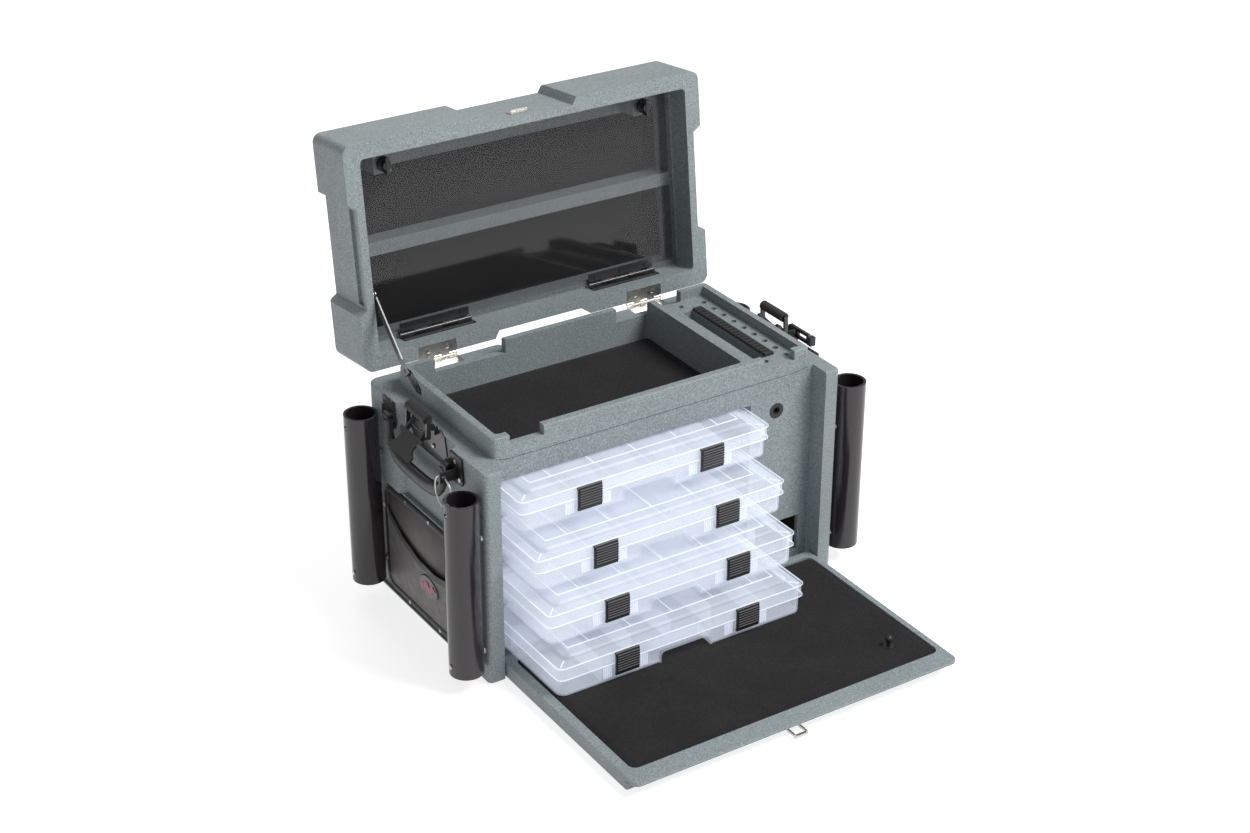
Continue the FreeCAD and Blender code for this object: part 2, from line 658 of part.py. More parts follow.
def make_pull_tab():
    """Slotted tab ahead of the right latch, standing off the case side."""
    face = CASE_HALF - SIDE_RECESS
    foot = block(face, face + 3, 86, 101.5, 262, 288)
    strut = block(face + 1, face + 16, 96, 99, 270, 300)
    frame = block(face + 13, face + 17, 70, 114, 288, 302)
    frame = rounded(frame, 4, V(1, 0, 0))
    frame = frame.cut(block(face + 10, face + 20, 76, 94, 292, 298))
    end = block(face + 11, face + 19, 64, 71, 289, 301)
    return fused([foot, strut, frame, end])


def make_handle():
    """Right-hand bail handle hanging from its two pivots."""
    d0, d1 = GRIP_D
    u0, u1 = GRIP_AXIS_U - 4.5, GRIP_AXIS_U + 9.5
    low = 212.0
    outer = [(d0, 276), (d0, 236), (d0 + 16, low), (d1 - 16, low), (d1, 236), (d1, 276)]
    inner = [
        (d1 - 11, 280),
        (d1 - 11, 248),
        (d1 - 20, 234),
        (d0 + 20, 234),
        (d0 + 11, 248),
        (d0 + 11, 280),
    ]
    bail = side_profile(outer, u0, u1).cut(side_profile(inner, u0 - 1, u1 + 1))
    for lo, hi, radius in ((205, 225, 14), (230, 242, 8)):
        corner = edges_along(bail, V(1, 0, 0), lambda p: lo < p.z < hi)
        if corner:
            bail = bail.makeFillet(radius, corner)
    ridges = []
    for i in range(11):
        d = d0 + 24 + i * (d1 - d0 - 48) / 10
        ridges.append(along_x(2.0, u0 - 1, u1 + 1, d, low - 0.4))
    bail = bail.cut(ridges)
    pins = [
        along_y(PIN_R, GRIP_AXIS_U, d0 - 11, d0 + 1, GRIP_AXIS_Z),
        along_y(PIN_R, GRIP_AXIS_U, d1 - 1, d1 + 11, GRIP_AXIS_Z),
    ]
    return fused([bail] + pins)


def make_brackets(with_eye):
    """Right-hand pair of handle brackets with their pivot knuckles."""
    solids = []
    for sign, edge in ((-1, GRIP_D[0] - 0.6), (1, GRIP_D[1] + 0.6)):
        far = edge + sign * BRACKET_W
        d0, d1 = sorted((edge, far))
        outline = [(d0 + 4, 250), (d1 - 4, 250), (d1, 256), (d1 - 3, 286), (d0 + 3, 286), (d0, 256)]
        plate = side_profile(outline, CASE_HALF, CASE_HALF + 3)
        k0, k1 = sorted((edge, edge + sign * 13))
        knuckle = along_y(6.2, GRIP_AXIS_U, k0, k1, GRIP_AXIS_Z)
        foot = block(CASE_HALF + 1, GRIP_AXIS_U, k0, k1, GRIP_AXIS_Z - 6.2, GRIP_AXIS_Z + 6.2)
        bore = along_y(PIN_R + PIN_GAP, GRIP_AXIS_U, k0 - 1, k1 + 1, GRIP_AXIS_Z)
        solid = fused([plate, knuckle, foot])
        if with_eye and sign < 0:
            eye = block(CASE_HALF + 1, 282, edge - 23.5, edge - 20.5, 258, 271)
            eye = eye.fuse(block(CASE_HALF + 1, CASE_HALF + 4, edge - 24.5, edge - 19.5, 257, 272))
            solid = solid.fuse(eye).removeSplitter()
            solid = solid.cut(along_y(2.6, RING_U, edge - 25, edge - 19, RING_Z))
        solids.append(solid.cut(bore))
    return solids


def make_ring():
    """Wire ring hanging from the eye of the left front bracket."""
    d = GRIP_D[0] - 0.6 - 22
    return Part.makeTorus(RING_R, 1.1, V(-RING_U, y(d), RING_Z - RING_R), V(1, 0, 0))


def make_rod_tube(s, d):
    x = s * TUBE_U
    body = tube(TUBE_R, TUBE_BORE, V(x, y(d), TUBE_Z[0]), V(x, y(d), TUBE_Z[1]))
    hole = pin(3.2, V(x - s * 4, y(d), TUBE_Z[1] - 15), V(x + s * 30, y(d), TUBE_Z[1] - 15))
    return body.cut(hole)


def tube_pads(s, d):
    """Standoff, head and washer of the two screws that hold a rod tube."""
    pads = []
    for z in (45.0, 200.0):
        wall = CASE_HALF - (LOWER_RECESS if 45 < d < 271 and z < 160 else 0)
        spacer = pin(5, V(s * wall, y(d), z), V(s * (TUBE_U - TUBE_BORE + 0.6), y(d), z))
        spacer = spacer.cut(pin(TUBE_R, V(s * TUBE_U, y(d), z - 10), V(s * TUBE_U, y(d), z + 10)))
        pads.append(spacer)
    return pads


def make_fasteners():
    """Tube spacers, tube end pins, bracket screws and the pocket rivets."""
    solids = []
    for s in (-1, 1):
        for d in TUBE_D:
            solids += tube_pads(s, d)
            tube = Part.makeCylinder(TUBE_R, CASE_HEIGHT, V(s * TUBE_U, y(d), 0))
            ends = (s * (TUBE_U + TUBE_R - 0.4), s * (TUBE_U + TUBE_R + 1.4))
            solids.append(pin(3.2, V(ends[0], y(d), 37), V(ends[1], y(d), 37)).cut(tube))
        face = CASE_HALF + 3
        for d, z in ((51, 258), (61, 278), (231, 258), (241, 278)):
            solids.append(pin(2.8, V(s * face, y(d), z), V(s * (face + 1.3), y(d), z)))
    for d, z in POCKET_RIVETS:
        wall = -(CASE_HALF - LOWER_RECESS + POCKET_EDGE)
        solids.append(pin(2.6, V(wall, y(d), z), V(wall - 1.3, y(d), z)))
    return solids


def make_pocket():
    """Side pocket: backing sheet, bound edge and a front panel, open on top."""
    wall = -(CASE_HALF - LOWER_RECESS)
    outline = [(47, 6), (262, 6), (262, 157.5), (47, 157.5)]
    back = side_profile(outline, wall - 0.8, wall)
    edge = side_profile(outline, wall - POCKET_EDGE, wall)
    edge = edge.cut(side_profile([(55, 14), (254, 14), (254, 149.5), (55, 149.5)], wall - 5, wall + 1))
    front = [(51, 11), (256, 11), (256, 128), (178, 94), (120, 90), (51, 106)]
    inside = [(54, 14), (253, 14), (253, 162), (54, 162)]
    bag = side_profile(front, wall - POCKET_DEEP, wall)
    bag = bag.cut(side_profile(inside, wall - POCKET_DEEP + 1, wall + 1))
    return fused([back, edge, bag]).cut(make_fasteners())


def box_front(level):
    return -BOX_PULL[level]


def box_floor(level):
    return BOX_LOWEST + (3 - level) * BOX_PITCH


def make_box_base(level):
    x0, x1 = BOX_LEFT, BOX_LEFT + BOX_WIDTH
    d0 = box_front(level)
    d1 = d0 + BOX_DEPTH
    z0 = box_floor(level)
    body = rounded(block(x0, x1, d0, d1, z0, z0 + 38), 12, V(0, 0, 1))
    body = body.makeFillet(2.5, [e for e in body.Edges if e.BoundBox.ZMax < z0 + 0.1])
    t = BOX_WALL
    hollow = rounded(block(x0 + t, x1 - t, d0 + t, d1 - t, z0 + 2, z0 + 40), 10.5, V(0, 0, 1))
    scoop = block(x0 + 142, x0 + 214, d0 - 5, d0 + 26, z0 - 1, z0 + 14)
    scoop = rounded(scoop, 6, V(0, 1, 0), lambda p: p.z > z0 + 5)
    shelf = block(x0 + 140, x0 + 216, d0, d0 + 28, z0, z0 + 16)
    body = body.cut(hollow).fuse(shelf).cut(scoop)
    d = d0 + BOX_DEPTH / 2
    divider = block(x0 + 1, x1 - 1, d - 0.8, d + 0.8, z0 + 1, z0 + 34)
    catches = [
        block(x0 + a + 2, x0 + a + BOX_LATCH_W - 2, d0 - 1.6, d0 + 1, z0 + 14, z0 + 17)
        for a in BOX_LATCH_X
    ]
    return fused([body, divider] + catches)


def make_box_lid(level):
    x0, x1 = BOX_LEFT - 3, BOX_LEFT + BOX_WIDTH + 3
    d0 = box_front(level) - 3
    d1 = box_front(level) + BOX_DEPTH + 0.0
    z0 = box_floor(level)
    outer = rounded(block(x0, x1, d0, d1, z0 + LIP_LOW, z0 + LIP_TOP), 14, V(0, 0, 1))
    outer = outer.makeFillet(1.5, [e for e in outer.Edges if e.BoundBox.ZMin > z0 + LIP_TOP - 0.1])
    inner = block(x0 + 2, x1 - 2, d0 + 2, d1 + 5, z0 + LIP_LOW - 1, z0 + 38.6)
    inner = rounded(inner, 12, V(0, 0, 1), lambda p: p.y < y(d0 + 10))
    cover = block(x0 + 15, x1 - 15, d0 + 15, d1 - 12, z0 + LIP_TOP - 1, z0 + PANEL_TOP)
    top = z0 + PANEL_TOP
    cover = rounded(cover, 10, V(0, 0, 1))
    cover = cover.makeChamfer(2.5, [e for e in cover.Edges if e.BoundBox.ZMin > top - 0.1])
    under = block(x0 + 17.5, x1 - 17.5, d0 + 17.5, d1 - 14.5, z0 + 38, top - 1.8)
    under = rounded(under, 8, V(0, 0, 1))
    body = outer.fuse(cover).cut([inner, under])
    slots = []
    for a in BOX_LATCH_X:
        xa = BOX_LEFT + a - 0.6
        slots.append(block(xa, xa + BOX_LATCH_W + 1.2, d0 - 1, d0 + 1.2, z0 + 20, z0 + 43))
    body = body.cut(slots)
    return body.removeSplitter()


def make_box_latch(level, index):
    """Ribbed snap latch that hangs from the lid edge over the base catch."""
    xa = BOX_LEFT + BOX_LATCH_X[index]
    d0 = box_front(level) - 3 + 1.1
    z0 = box_floor(level)
    plate = block(xa, xa + BOX_LATCH_W, d0 - 3.6, d0 - 1.8, z0 + 9, z0 + 37.5)
    barrel = along_x(1.8, xa, xa + BOX_LATCH_W, d0 - 2.0, z0 + 38.2)
    toe = block(xa, xa + BOX_LATCH_W, d0 - 3.6, d0 - 1.0, z0 + 9, z0 + 11.5)
    ribs = []
    for k in range(7):
        z = z0 + 13 + k * 3.4
        ribs.append(block(xa, xa + BOX_LATCH_W, d0 - 4.8, d0 - 3.4, z, z + 1.3))
    return fused([plate, barrel, toe] + ribs)


os.makedirs("parts", exist_ok=True)

save("case_body", make_case())
save("top_tray", make_tray())
foam = block(-216.5, TRAY_DIVIDER - 0.5, 38.5, 246.5, TRAY_FLOOR, TRAY_FLOOR + TRAY_FOAM)
save("tray_foam", rounded(foam, 5, V(0, 0, 1)))
save("rig_rail", make_rail())
collar = along_y(GROMMET_R, GROMMET_U, 27.7, 44, GROMMET_Z)
save("grommet", collar.cut(along_y(GROMMET_HOLE, GROMMET_U, 20, 60, GROMMET_Z)))

save("lid_shell", opened(make_lid()))
linings = []
for v0, v1 in ((CAVITY_V[0], RIB_V[0]), (RIB_V[1], KNOB_V - 12.5)):
    pad = lid_block(
        -CAVITY_HALF + 0.5, CAVITY_HALF - 0.5, v0 + 0.5, v1 - 0.5, CAVITY_W - 3, CAVITY_W
    )
    linings.append(opened(rounded(pad, 5, V(0, 0, 1))))
save("lid_foam", linings)
save("lid_window", opened(make_window()))
leaf_fixed, leaf_moving = make_window_hinges()
save("window_hinge_fixed", [opened(s) for s in leaf_fixed])
save("window_hinge_moving", [opened(s) for s in leaf_moving])
save("window_knob_left", opened(make_knob(-1)))
save("window_knob_right", opened(make_knob(1)))
butt_lower, butt_upper = make_butt_hinges()
save("lid_hinge_lower", butt_lower)
save("lid_hinge_upper", [opened(s) for s in butt_upper])
bar, rivet, bracket = make_stay()
save("stay_arm", bar)
save("lid_fittings", [opened(make_strike()), rivet])
save("stay_bracket", bracket)

save("door_panel", lowered(make_door()))
save("door_foam", lowered(make_door_foam()))
save("door_ball_stud", lowered(make_stud()))
save("door_hinge", make_door_pins())
latch_base, latch_lever, latch_hook = make_door_latch()
save("door_latch_base", lowered(latch_base))
save("door_latch_lever", lowered(latch_lever))
save("door_latch_hook", lowered(latch_hook))

latch_parts = make_side_latch()
for part_name, shape in zip(("base", "lever", "link", "roller"), latch_parts):
    save("side_latch_" + part_name + "_right", shape)
    save("side_latch_" + part_name + "_left", mirrored(shape))
save("pull_tab_right", make_pull_tab())

grip = make_handle()
save("handle_right", grip)
save("handle_left", mirrored(grip))
save("handle_bracket_right", make_brackets(False))
save("handle_bracket_left", [mirrored(s) for s in make_brackets(True)])
save("accessory_ring", make_ring())
for side, s in (("left", -1), ("right", 1)):
    for place, depth in zip(("front", "rear"), TUBE_D):
        save("rod_tube_" + place + "_" + side, make_rod_tube(s, depth))
save("case_fasteners", make_fasteners())
save("side_pocket", make_pocket())

for level in range(4):
    tag = str(level + 1)
    save("box" + tag + "_base", make_box_base(level))
    save("box" + tag + "_lid", make_box_lid(level))
    save("box" + tag + "_latch_left", make_box_latch(level, 0))
    save("box" + tag + "_latch_right", make_box_latch(level, 1))
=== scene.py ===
"""Looks of the fishing tackle box: materials, soft goods, small details, light and camera."""
import json
import random
from math import cos, pi, radians, sin

import bmesh
import bpy
from mathutils import Matrix, Vector


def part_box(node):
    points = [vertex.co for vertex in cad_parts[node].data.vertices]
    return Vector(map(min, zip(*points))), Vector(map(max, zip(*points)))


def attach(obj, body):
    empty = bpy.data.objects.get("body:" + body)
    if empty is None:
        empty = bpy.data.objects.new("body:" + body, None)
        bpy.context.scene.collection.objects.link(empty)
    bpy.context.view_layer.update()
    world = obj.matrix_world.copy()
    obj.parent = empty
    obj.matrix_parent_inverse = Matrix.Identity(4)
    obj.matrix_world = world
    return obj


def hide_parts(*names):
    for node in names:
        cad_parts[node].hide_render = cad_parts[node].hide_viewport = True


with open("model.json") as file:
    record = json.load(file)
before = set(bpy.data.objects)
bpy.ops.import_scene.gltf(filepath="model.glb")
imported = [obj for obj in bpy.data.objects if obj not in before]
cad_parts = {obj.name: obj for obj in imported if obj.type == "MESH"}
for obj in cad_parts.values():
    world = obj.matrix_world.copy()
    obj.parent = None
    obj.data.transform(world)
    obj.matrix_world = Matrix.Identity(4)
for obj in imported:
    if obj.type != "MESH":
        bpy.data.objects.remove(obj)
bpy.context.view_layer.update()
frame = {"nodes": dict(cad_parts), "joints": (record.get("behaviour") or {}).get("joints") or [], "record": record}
NODES = frame["nodes"]
RNG = random.Random(7)
MM = 0.001
SHARP_ANGLE = radians(35)
BEVEL_ANGLE = radians(30)

# ---- places read from the frame ---------------------------------------------
BOXES = ("box1", "box2", "box3", "box4")
JOINTS = {j["name"]: j for j in frame["joints"]}
LID_AXIS = Vector(JOINTS["lid_hinge"]["pos_m"])
LID_ANGLE = radians(JOINTS["lid_hinge"]["range_deg"][1])
HINGE_LEAF = 0.0525  # length of a butt hinge, which ends at the outer end of its node
LID_TURN = (
    Matrix.Translation(LID_AXIS)
    @ Matrix.Rotation(-LID_ANGLE, 4, "X")
    @ Matrix.Translation(-LID_AXIS)
)


# ---- materials ---------------------------------------------------------------
def material(name):
    mat = bpy.data.materials.new(name)
    mat.use_nodes = True
    tree = mat.node_tree
    return mat, tree, tree.nodes["Principled BSDF"]


def coords(tree, stretch=(1, 1, 1)):
    """Object coordinates in metres, stretched per axis."""
    place = tree.nodes.new("ShaderNodeTexCoord")
    mapping = tree.nodes.new("ShaderNodeMapping")
    mapping.inputs["Scale"].default_value = stretch
    tree.links.new(place.outputs["Object"], mapping.inputs["Vector"])
    return mapping.outputs["Vector"]


def noise(tree, scale, detail=2.0, roughness=0.5, stretch=(1, 1, 1)):
    node = tree.nodes.new("ShaderNodeTexNoise")
    node.inputs["Scale"].default_value = scale
    node.inputs["Detail"].default_value = detail
    node.inputs["Roughness"].default_value = roughness
    tree.links.new(coords(tree, stretch), node.inputs["Vector"])
    return node.outputs["Fac"]


def ramp(tree, factor, stops):
    """Colour ramp: stops is a list of (place, grey or colour)."""
    node = tree.nodes.new("ShaderNodeValToRGB")
    elements = node.color_ramp.elements
    while len(elements) < len(stops):
        elements.new(0.5)
    for element, (place, value) in zip(elements, stops):
        element.position = place
        colour = value if isinstance(value, tuple) else (value, value, value)
        element.color = (*colour, 1)
    tree.links.new(factor, node.inputs["Fac"])
    return node.outputs["Color"]


MIX_FACTOR, MIX_FIRST, MIX_SECOND, MIX_RESULT = 0, 6, 7, 2


def mix(tree, factor, first, second, blend="MIX"):
    """Mixes two colours; each value is a socket, a number or a colour."""
    node = tree.nodes.new("ShaderNodeMix")
    node.data_type = "RGBA"
    node.blend_type = blend
    for index, value in ((MIX_FACTOR, factor), (MIX_FIRST, first), (MIX_SECOND, second)):
        if isinstance(value, bpy.types.NodeSocket):
            tree.links.new(value, node.inputs[index])
        elif index == MIX_FACTOR:
            node.inputs[index].default_value = value
        else:
            node.inputs[index].default_value = (*value, 1)
    return node.outputs[MIX_RESULT]


def add_bump(tree, shader, height, strength, distance):
    node = tree.nodes.new("ShaderNodeBump")
    node.inputs["Strength"].default_value = strength
    node.inputs["Distance"].default_value = distance
    tree.links.new(height, node.inputs["Height"])
    previous = shader.inputs["Normal"].links
    if previous:
        tree.links.new(previous[0].from_socket, node.inputs["Normal"])
    tree.links.new(node.outputs["Normal"], shader.inputs["Normal"])


def granite():
    """Speckled moulded polyethylene."""
    mat, tree, shader = material("granite_shell")
    base = ramp(
        tree, noise(tree, 9, 2), [(0.35, (0.208, 0.240, 0.250)), (0.65, (0.234, 0.268, 0.278))]
    )
    light = ramp(tree, noise(tree, 620, 2, 0.6), [(0.50, 0.0), (0.70, 0.80)])
    dark = ramp(tree, noise(tree, 430, 2, 0.6, (1.3, 1.3, 1.3)), [(0.48, 0.0), (0.68, 0.75)])
    colour = mix(tree, light, base, (0.39, 0.43, 0.44))
    colour = mix(tree, dark, colour, (0.112, 0.133, 0.141))
    tree.links.new(colour, shader.inputs["Base Color"])
    rough = ramp(tree, noise(tree, 60, 3), [(0.3, 0.50), (0.7, 0.66)])
    tree.links.new(rough, shader.inputs["Roughness"])
    shader.inputs["Specular IOR Level"].default_value = 0.4
    add_bump(tree, shader, noise(tree, 480, 3, 0.6), 0.45, 0.0005)
    add_bump(tree, shader, noise(tree, 60, 2), 0.12, 0.0008)
    return mat


def foam_material(name, tint, grain):
    """Closed-cell foam; grain is how strongly its cells show."""
    mat, tree, shader = material(name)
    low = tuple((1 - 0.5 * grain) * c for c in tint)
    high = tuple((1 + 0.7 * grain) * c for c in tint)
    colour = ramp(tree, noise(tree, 620, 4, 0.75), [(0.35, low), (0.68, high)])
    broad = ramp(tree, noise(tree, 14, 3), [(0.35, 0.85), (0.65, 1.1)])
    tree.links.new(mix(tree, 1.0, colour, broad, "MULTIPLY"), shader.inputs["Base Color"])
    shader.inputs["Roughness"].default_value = 0.95
    shader.inputs["Sheen Weight"].default_value = 0.05
    shader.inputs["Specular IOR Level"].default_value = 0.2
    add_bump(tree, shader, noise(tree, 900, 3, 0.7), 0.3 * grain, 0.0005)
    add_bump(tree, shader, noise(tree, 130, 2), 0.2 * grain, 0.001)
    return mat


def plain(name, colour, rough, grain, metal=0.0, coat=0.0, spread=0.06, stretch=(1, 1, 1)):
    """A moulded, painted or plated surface with grain in its roughness and bump."""
    mat, tree, shader = material(name)
    low = tuple(c * (1 - 1.5 * spread) for c in colour)
    high = tuple(min(1.0, c * (1 + 1.5 * spread)) for c in colour)
    tint = ramp(tree, noise(tree, 25, 4, 0.6, stretch), [(0.3, low), (0.7, high)])
    tree.links.new(tint, shader.inputs["Base Color"])
    worn = ramp(
        tree, noise(tree, 160, 4, 0.65, stretch), [(0.3, rough - spread), (0.7, rough + spread)]
    )
    tree.links.new(worn, shader.inputs["Roughness"])
    shader.inputs["Metallic"].default_value = metal
    shader.inputs["Coat Weight"].default_value = coat
    shader.inputs["Coat Roughness"].default_value = 0.08
    add_bump(tree, shader, noise(tree, 1500, 2, 0.6, stretch), grain, 0.0002)
    return mat


def clear_plastic(name, low_cover, high_cover, painted_glow):
    """Milky translucent polypropylene of the utility boxes; its emission is a painted glow standing in for light
    scattered through the plastic.
    """
    mat, tree, shader = material(name)
    tint = ramp(
        tree, noise(tree, 7, 3), [(0.3, (0.78, 0.82, 0.92)), (0.7, (0.86, 0.89, 0.96))]
    )
    tree.links.new(tint, shader.inputs["Base Color"])
    rough = ramp(tree, noise(tree, 50, 3), [(0.3, 0.16), (0.7, 0.30)])
    tree.links.new(rough, shader.inputs["Roughness"])
    facing = tree.nodes.new("ShaderNodeLayerWeight")
    facing.inputs["Blend"].default_value = 0.35
    stops = [(0.0, low_cover), (0.5, low_cover + 0.05), (0.9, high_cover)]
    cover = ramp(tree, facing.outputs["Facing"], stops)
    tree.links.new(cover, shader.inputs["Alpha"])
    shader.inputs["Specular IOR Level"].default_value = 0.7
    # painted glow: bluish emission standing in for light scattered through the plastic
    shader.inputs["Emission Color"].default_value = (0.80, 0.87, 1.0, 1)
    shader.inputs["Emission Strength"].default_value = painted_glow
    add_bump(tree, shader, noise(tree, 30, 2), 0.08, 0.001)
    return mat


def window_plastic():
    mat, tree, shader = material("window_clear")
    shader.inputs["Base Color"].default_value = (0.022, 0.022, 0.023, 1)
    rough = ramp(tree, noise(tree, 40, 4, 0.7), [(0.4, 0.03), (0.75, 0.10)])
    tree.links.new(rough, shader.inputs["Roughness"])
    facing = tree.nodes.new("ShaderNodeLayerWeight")
    facing.inputs["Blend"].default_value = 0.5
    cover = ramp(tree, facing.outputs["Fresnel"], [(0.0, 0.035), (0.8, 0.27)])
    tree.links.new(cover, shader.inputs["Alpha"])
    shader.inputs["Specular IOR Level"].default_value = 1.0
    shader.inputs["Coat Weight"].default_value = 1.0
    shader.inputs["Coat Roughness"].default_value = 0.02
    return mat


def vinyl(name, colour):
    """Coated pocket cloth with a fine woven backing showing through."""
    mat, tree, shader = material(name)
    low = tuple(0.82 * c for c in colour)
    high = tuple(1.2 * c for c in colour)
    tint = ramp(tree, noise(tree, 22, 4), [(0.3, low), (0.7, high)])
    tree.links.new(tint, shader.inputs["Base Color"])
    rough = ramp(tree, noise(tree, 90, 3), [(0.3, 0.40), (0.7, 0.58)])
    tree.links.new(rough, shader.inputs["Roughness"])
    shader.inputs["Sheen Weight"].default_value = 0.1
    for along in ((0, 1, 0.0), (0, 0.0, 1)):
        wave = tree.nodes.new("ShaderNodeTexWave")
        wave.bands_direction = "DIAGONAL"
        wave.inputs["Scale"].default_value = 420
        tree.links.new(coords(tree, along), wave.inputs["Vector"])
        add_bump(tree, shader, wave.outputs["Fac"], 0.25, 0.0003)
    add_bump(tree, shader, noise(tree, 45, 3), 0.3, 0.0012)
    return mat


MATS = {
    "granite_shell": granite(),
    "black_foam": foam_material("black_foam", (0.0160, 0.0148, 0.0150), grain=1.0),
    "black_plastic": plain("black_plastic", (0.016, 0.016, 0.017), rough=0.36, grain=0.2),
    "black_metal": plain("black_metal", (0.014, 0.014, 0.015), rough=0.30, grain=0.12, coat=0.4),
    "window_clear": window_plastic(),
    "nickel_steel": plain("nickel_steel", (0.56, 0.545, 0.52), rough=0.30, grain=0.12, metal=1.0),
    "tube_plastic": plain(
        "tube_plastic", (0.020, 0.016, 0.019), rough=0.15, grain=0.04, coat=0.15, stretch=(1, 1, 0.08)
    ),
    "black_rubber": plain("black_rubber", (0.024, 0.023, 0.023), rough=0.68, grain=0.5),
    "pocket_cloth": vinyl("pocket_cloth", (0.088, 0.080, 0.078)),
    "box_clear": clear_plastic("box_clear", low_cover=0.14, high_cover=0.66, painted_glow=0.36),
}
BINDING = vinyl("pocket_binding", (0.018, 0.017, 0.017))
SEAM = plain("seam_shadow", (0.055, 0.064, 0.068), rough=0.8, grain=0.1)
LID_FOAM = foam_material("lid_foam_cloth", (0.0150, 0.0140, 0.0140), grain=0.12)
# painted highlight: a more opaque, more glowing copy of the box plastic for the light edges of the boxes
BOX_EDGE_HIGHLIGHT = clear_plastic("box_edge_highlight", low_cover=0.34, high_cover=0.72, painted_glow=0.40)
# painted highlight: light grey plastic standing in for the glints along the black latch ridges
RIB_HIGHLIGHT = plain("rib_highlight", (0.16, 0.16, 0.165), rough=0.35, grain=0.1)
BADGE_DARK = plain("badge_dark", (0.045, 0.043, 0.045), rough=0.35, grain=0.1, coat=0.4)
BADGE_RED = plain("badge_red", (0.36, 0.035, 0.06), rough=0.4, grain=0.1, coat=0.4)


# ---- mesh helpers --------------------------------------------------------------
def piece(name, mesh, slot, body, mat=None, smooth=True):
    """Object of a bmesh, riding on body, with its finish from a record slot."""
    data = bpy.data.meshes.new(name)
    bmesh.ops.recalc_face_normals(mesh, faces=mesh.faces[:])
    mesh.to_mesh(data)
    mesh.free()
    obj = bpy.data.objects.new(name, data)
    bpy.context.scene.collection.objects.link(obj)
    data.materials.append(mat or MATS[slot])
    if smooth:
        data.shade_smooth()
        data.set_sharp_from_angle(angle=SHARP_ANGLE)
    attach(obj, body)
    return obj


def add_block(mesh, low, high, turn=None):
    """Adds an axis-aligned block to a bmesh, optionally turned."""
    size = Vector(high) - Vector(low)
    middle = (Vector(high) + Vector(low)) / 2
    place = Matrix.Translation(middle) @ Matrix.Diagonal((*size, 1))
    made = bmesh.ops.create_cube(mesh, size=1.0, matrix=place)
    if turn is not None:
        bmesh.ops.transform(mesh, matrix=turn, verts=made["verts"])


def bevel(obj, width, segments=2):
    """Rounds the edges of obj that turn by more than BEVEL_ANGLE."""
    mod = obj.modifiers.new("soft_edges", "BEVEL")
    mod.width = width
    mod.segments = segments
    mod.limit_method = "ANGLE"
    mod.angle_limit = BEVEL_ANGLE
    mod.harden_normals = True


def sweep(mesh, path, section, closed=False):
    """Skins a section, a list of (across, out) pairs, along a path of 3-D points.

    Out is away from the left side of the case.
    """
    out = Vector((-1, 0, 0))
    rings = []
    count = len(path)
    for i, point in enumerate(path):
        before = path[i - 1] if closed or i else point
        after = path[(i + 1) % count] if closed or i + 1 < count else point
        along = (after - before).normalized()
        across = along.cross(out).normalized()
        rings.append([mesh.verts.new(point + across * a + out * b) for a, b in section])
    last = count if closed else count - 1
    for i in range(last):
        ring, after = rings[i], rings[(i + 1) % count]
        for k in range(len(section)):
            m = (k + 1) % len(section)
            mesh.faces.new((ring[k], ring[m], after[m], after[k]))
    if not closed:
        mesh.faces.new(rings[0])
        mesh.faces.new(rings[-1][::-1])


# ---- finishes on the CAD nodes ----------------------------------------------------
SLOT_OF = {s["node"]: s["material_slot"] for s in frame["record"]["subparts"]}
SOFTENED = {  # width of the rounded edges in mm
    "case_body": 2.2,
    "top_tray": 1.8,
    "lid_shell": 2.6,
    "door_panel": 1.4,
    "rig_rail": 0.4,
    "grommet": 0.6,
    "case_fasteners": 0.5,
    "lid_fittings": 0.3,
    "pull_tab_right": 0.6,
}
for name, obj in NODES.items():
    for held in obj.material_slots:
        held.material = MATS[SLOT_OF[name]]
    width = SOFTENED.get(name, 0.0)
    if name.startswith(("handle_left", "handle_right")):
        width = 2.2
    elif name.startswith(("side_latch", "handle_bracket")):
        width = 0.5
    elif name.startswith("box"):
        width = 0.35 if "latch" in name else 0.6
    if width:
        bevel(obj, width * MM, segments=3 if width > 1 else 2)


# ---- foam mats ---------------------------------------------------------------------
FOAM_STEP = 0.006
FOAM_EDGE = 0.0022
FOAM_UNEVEN = 0.00012


def foam_mat(name, low, high, body, turn=None, mat=None):
    """Foam sheet with a rounded rim and a slightly uneven top, lying in XY."""
    mesh = bmesh.new()
    nx = max(2, round((high[0] - low[0]) / FOAM_STEP))
    ny = max(2, round((high[1] - low[1]) / FOAM_STEP))
    grid = []
    for i in range(nx + 1):
        row = []
        for k in range(ny + 1):
            x = low[0] + (high[0] - low[0]) * i / nx
            y = low[1] + (high[1] - low[1]) * k / ny
            drop = FOAM_EDGE if i in (0, nx) or k in (0, ny) else 0.0
            z = high[2] - drop - FOAM_UNEVEN * RNG.random()
            row.append(mesh.verts.new((x, y, z)))
        grid.append(row)
    for i in range(nx):
        for k in range(ny):
            mesh.faces.new((grid[i][k], grid[i + 1][k], grid[i + 1][k + 1], grid[i][k + 1]))
    rim = [grid[i][0] for i in range(nx)] + grid[nx][:ny]
    rim += [grid[i][ny] for i in range(nx, 0, -1)] + grid[0][ny:0:-1]
    foot = [mesh.verts.new((vert.co.x, vert.co.y, low[2])) for vert in rim]
    for k in range(len(rim)):
        m = (k + 1) % len(rim)
        mesh.faces.new((rim[k], rim[m], foot[m], foot[k]))
    if turn is not None:
        bmesh.ops.transform(mesh, matrix=turn, verts=mesh.verts[:])
    obj = piece(name, mesh, "black_foam", body, mat)
    obj.data.shade_smooth()
    return obj


